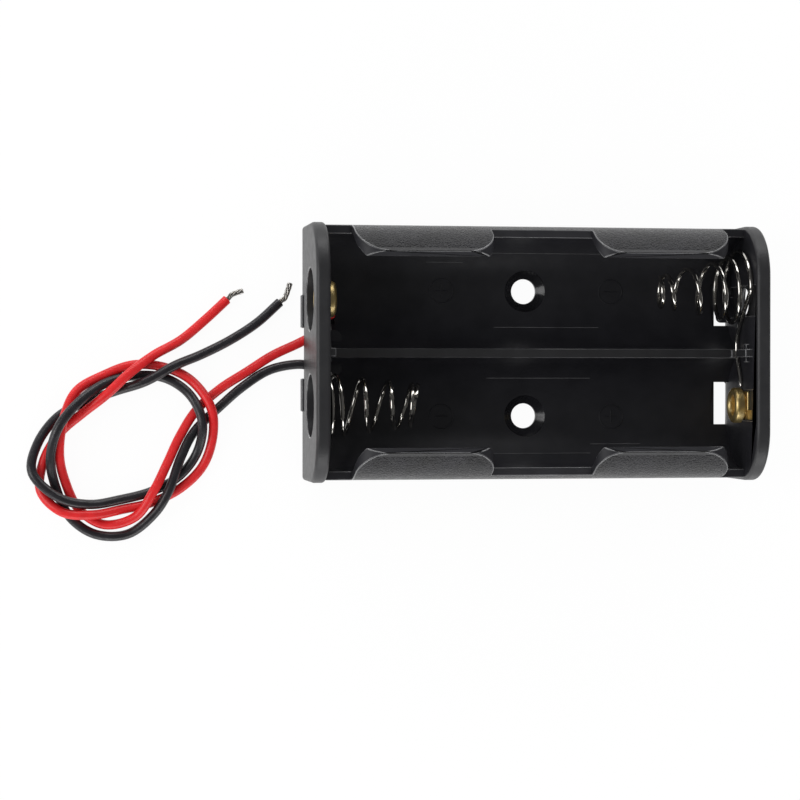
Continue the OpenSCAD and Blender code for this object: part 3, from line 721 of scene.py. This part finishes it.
class HousingOperator(bpy.types.Operator):
    """Make the moulding: the solid's own faces, sorted by finish, with its outer edges softened"""
    bl_idname = "cell_holder.housing"
    bl_label = "Housing"

    def execute(self, context):
        look = context.scene.cell_holder_housing
        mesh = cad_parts["housing"].data.copy()
        mesh.name = "housing_moulding"
        mesh.materials.clear()
        for plastic in self.finishes(look):
            mesh.materials.append(plastic)
        work = bmesh.new()
        work.from_mesh(mesh)
        bmesh.ops.remove_doubles(work, verts=work.verts, dist=SAME_POINT * MM)
        bmesh.ops.dissolve_limit(work, angle_limit=np.radians(FLAT_WITHIN), verts=work.verts,
                                 edges=work.edges)
        self.join_slivers(work)
        self.sort_faces(work)
        self.weigh_edges(work, look.edge_width)
        work.to_mesh(mesh)
        work.free()
        moulding = bpy.data.objects.new("housing_moulding", mesh)
        context.scene.collection.objects.link(moulding)
        bevel = moulding.modifiers.new("edges", "BEVEL")
        bevel.width = look.edge_width * MM
        bevel.segments = 2
        bevel.limit_method = "WEIGHT"
        bevel.material = EDGES
        bevel.use_clamp_overlap = False
        bevel.miter_outer = "MITER_ARC"
        context.view_layer.update()
        softened = moulding.evaluated_get(context.evaluated_depsgraph_get())
        moulding.data = bpy.data.meshes.new_from_object(softened)
        moulding.data.name = "housing_moulding_soft"
        moulding.modifiers.clear()
        self.shade(moulding.data)
        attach(moulding, "root")
        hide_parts("housing")
        return {"FINISHED"}

    def finishes(self, look):
        """Materials of the moulding's faces: polished inside, grained outside, satin end plates,
        edges with a sharper polish, painted lighter than the rest as a highlight, and smooth bolt holes."""
        return (
            black_plastic("polished_black_plastic", look.plastic, look.plastic_light,
                          look.gloss_roughness, 0.3),
            black_plastic("spark_eroded_black_plastic", look.grained, look.plastic,
                          look.grain_roughness, 0.33, grain=4.2, depth=look.grain_depth),
            black_plastic("satin_black_plastic", look.satin, look.satin_light,
                          look.end_roughness, 0.5, ripple=1.0, depth=0.02),
            # The edges' colours are lighter than the rest of the black: a painted highlight along them
            black_plastic("black_plastic_edge_painted_highlight", look.edge, look.edge_light,
                          look.edge_roughness, 0.8),
            black_plastic("turned_black_plastic", look.grained, look.plastic, 0.2, 0.6))

    def join_slivers(self, work):
        """Join the slivers of the troughs, between which the surface turns by less than a facet."""
        verts = []
        for vert in work.verts:
            x, y, z = vert.co / MM
            away = np.hypot(abs(y) - AXIS_Y, z - AXIS_Z)
            if abs(x) < INNER_X and abs(away - TROUGH_R) < 0.02:
                verts.append(vert)
        kept = set(verts)
        edges = [edge for edge in work.edges if kept.issuperset(edge.verts)]
        bmesh.ops.dissolve_limit(work, angle_limit=np.radians(FACET), verts=verts, edges=edges)

    def sort_faces(self, work):
        """Give each face its finish: the end plates and the divider's top, the round outside, the
        bolt holes, or the polished rest."""
        for face in work.faces:
            where = np.array([vert.co for vert in face.verts]) / MM
            away = np.hypot(np.abs(where[:, 1]) - AXIS_Y, where[:, 2] - AXIS_Z)
            from_hole = np.hypot(where[:, 0], np.abs(where[:, 1]) - HOLE_Y)
            # Faces that stand out beyond the end plates' outer faces, the feet, are kept off the satin
            # finish and take a darker one below: painted shade
            on_end = FACE_X + 0.01 < abs(where[:, 0].mean()) < END_X + 0.02
            above_divider = where[:, 2].min() > DIVIDER_H - OFF_FLAT
            if on_end or above_divider and np.abs(where[:, 1]).max() < DIVIDER_REACH:
                face.material_index = ENDS
            elif away.min() > OUTER_R - OFF_FLAT:
                face.material_index = OUTSIDE
            elif from_hole.max() < HOLE_REACH:
                face.material_index = SINK
            else:
                face.material_index = INSIDE

    def weigh_edges(self, work, width):
        """Full weight for each outer edge, less beside a face narrower than two widths, and none
        round the bolt holes and at the slots, where slivers of the trough would fold over."""
        weight = work.edges.layers.float.new("bevel_weight_edge")
        for edge in work.edges:
            x, y, z = (edge.verts[0].co + edge.verts[1].co) / 2 / MM
            at_hole = np.hypot(x, abs(y) - HOLE_Y) <= HOLE_REACH
            at_slot = SLOT_FROM < abs(x) < INNER_X and z < SLOT_TOP
            outer = edge.is_convex and edge.calc_face_angle(0) >= np.radians(OUTER_ANGLE)
            if outer and not at_hole and not at_slot:
                room = min(face.calc_area() for face in edge.link_faces) / edge.calc_length()
                edge[weight] = min(1, room / (2 * width * MM))

    def shade(self, mesh):
        """Normals of each face's corners: square to the true cylinder on the round faces, the mean of
        the neighbours within 25 degrees by area on the others, and on a softened edge the mean of
        those of the faces that it joins."""
        at = read(mesh.loops, "vertex_index", kind=int)
        owner = np.repeat(np.arange(len(mesh.polygons)), read(mesh.polygons, "loop_total", kind=int))
        flat = read(mesh.polygons, "normal", 3)[owner]
        by_area = flat * read(mesh.polygons, "area")[owner, None]
        main = read(mesh.polygons, "material_index", kind=int)[owner] != EDGES

        # All pairs of corners that share a vertex, each with itself too
        shared = np.bincount(at)
        order, first = np.argsort(at, kind="stable"), np.cumsum(shared) - shared
        one = np.repeat(np.arange(len(at)), shared[at])
        step = np.arange(len(one)) - np.repeat(np.cumsum(shared[at]) - shared[at], shared[at])
        other = order[first[at[one]] + step]

        def gathered(pairs, vectors):
            """Sum for each corner of the others' vectors, over some of the pairs."""
            sums = [np.bincount(one[pairs], vectors[other[pairs], k], len(at)) for k in range(3)]
            return np.stack(sums, -1)

        alike = (flat[one] * flat[other]).sum(1) > 0.9
        normals = gathered(main[one] & main[other] & alike, by_area)
        off = read(mesh.vertices, "co", 3)[at] / MM
        off[:, 0] = 0
        off[:, 1] -= AXIS_Y * np.where(off[:, 1] < 0, -1, 1)
        off[:, 2] -= AXIS_Z
        away = np.linalg.norm(off, axis=1)
        for radius, sign in ((TROUGH_R, -1), (OUTER_R, 1)):
            square = sign * unit(off)
            on_round = main & (np.abs(away - radius) < OFF_ROUND) & ((flat * square).sum(1) > 0.99)
            normals[on_round] = square[on_round]
        joins = np.bincount(at[main], minlength=len(mesh.vertices))[at] > 0
        normals[~main & joins] = gathered(main[other], normals)[~main & joins]
        normals[~main & ~joins] = gathered(slice(None), by_area)[~main & ~joins]
        mesh.polygons.foreach_set("use_smooth", [True] * len(mesh.polygons))
        mesh.normals_split_custom_set(unit(normals).tolist())


class SignsOperator(bpy.types.Operator):
    """Make what stands up from the troughs: polarity signs, and lines where parts of the mould met"""
    bl_idname = "cell_holder.signs"
    bl_label = "Signs and mould lines"

    def execute(self, context):
        plastic = bpy.data.materials["polished_black_plastic"]
        painted_highlight = bpy.data.materials["black_plastic_edge_painted_highlight"]
        for name, x, y, plus in SIGNS:
            k = np.linspace(0, 2 * np.pi, 49)
            t = np.linspace(-STROKE, STROKE, 9)
            lines = [np.column_stack([x + SIGN_R * np.cos(k), y + SIGN_R * np.sin(k)]),
                     np.column_stack([x + t, np.full(9, y)])]
            if plus:
                lines.append(np.column_stack([np.full(9, x), y + t]))
            self.ridges("sign_" + name, lines, SIGN_LINE_R, plastic)
        # The mould lines take the edges' material, whose lighter colour is a painted highlight
        lines = [np.column_stack([np.linspace(x0, x1, 25), np.full(25, y)]) for y, x0, x1 in MOULD_LINES]
        self.ridges("mould_lines", lines, MOULD_LINE_R, painted_highlight)
        return {"FINISHED"}

    def ridges(self, name, lines, radius, material):
        """Fine ridges along some lines, each given in plan, as one piece."""
        shapes = [tube(self.laid(line), radius, 8) for line in lines]
        piece(name, joined(*shapes), material)

    def laid(self, line):
        """Plan of a line laid on the round trough: z = axis - sqrt(r^2 - (|y| - axis)^2)."""
        off = np.abs(line[:, 1]) - AXIS_Y
        return np.column_stack([line, AXIS_Z - np.sqrt(TROUGH_R ** 2 - off ** 2)])


class HolderPanel(bpy.types.Panel):
    """Lists the holder's pieces"""
    bl_idname = "VIEW3D_PT_cell_holder"
    bl_label = "Cell holder"
    bl_space_type = "VIEW_3D"
    bl_region_type = "UI"
    bl_category = "Cell holder"

    def draw(self, context):
        for operator in OPERATORS:
            self.layout.operator(operator.bl_idname)
        for group in GROUPS:
            look = getattr(context.scene, group)

            # The first two are Blender's own
            for key in look.bl_rna.properties.keys()[2:]:
                self.layout.prop(look, key)


OPERATORS = (StageOperator, LeadsOperator, SolderOperator, SpringsOperator, ButtonsOperator,
             HousingOperator, SignsOperator)
GROUPS = {"cell_holder_housing": HolderLook, "cell_holder_contacts": ContactLook,
          "cell_holder_leads": LeadLook, "cell_holder_stage": StageLook}


def register():
    """Register the classes and hang the settings on the scene."""
    for cls in (*GROUPS.values(), *OPERATORS, HolderPanel):
        bpy.utils.register_class(cls)
    for name, cls in GROUPS.items():
        setattr(bpy.types.Scene, name, bpy.props.PointerProperty(type=cls))


def unregister():
    """Take the settings and the classes away again."""
    for name in GROUPS:
        delattr(bpy.types.Scene, name)
    for cls in (HolderPanel, *reversed(OPERATORS), *reversed(GROUPS.values())):
        bpy.utils.unregister_class(cls)


def main():
    """Make everything."""
    register()
    for operator in OPERATORS:
        group, name = operator.bl_idname.split(".")
        getattr(getattr(bpy.ops, group), name)()
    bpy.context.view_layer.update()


if __name__ == "__main__":
    main()
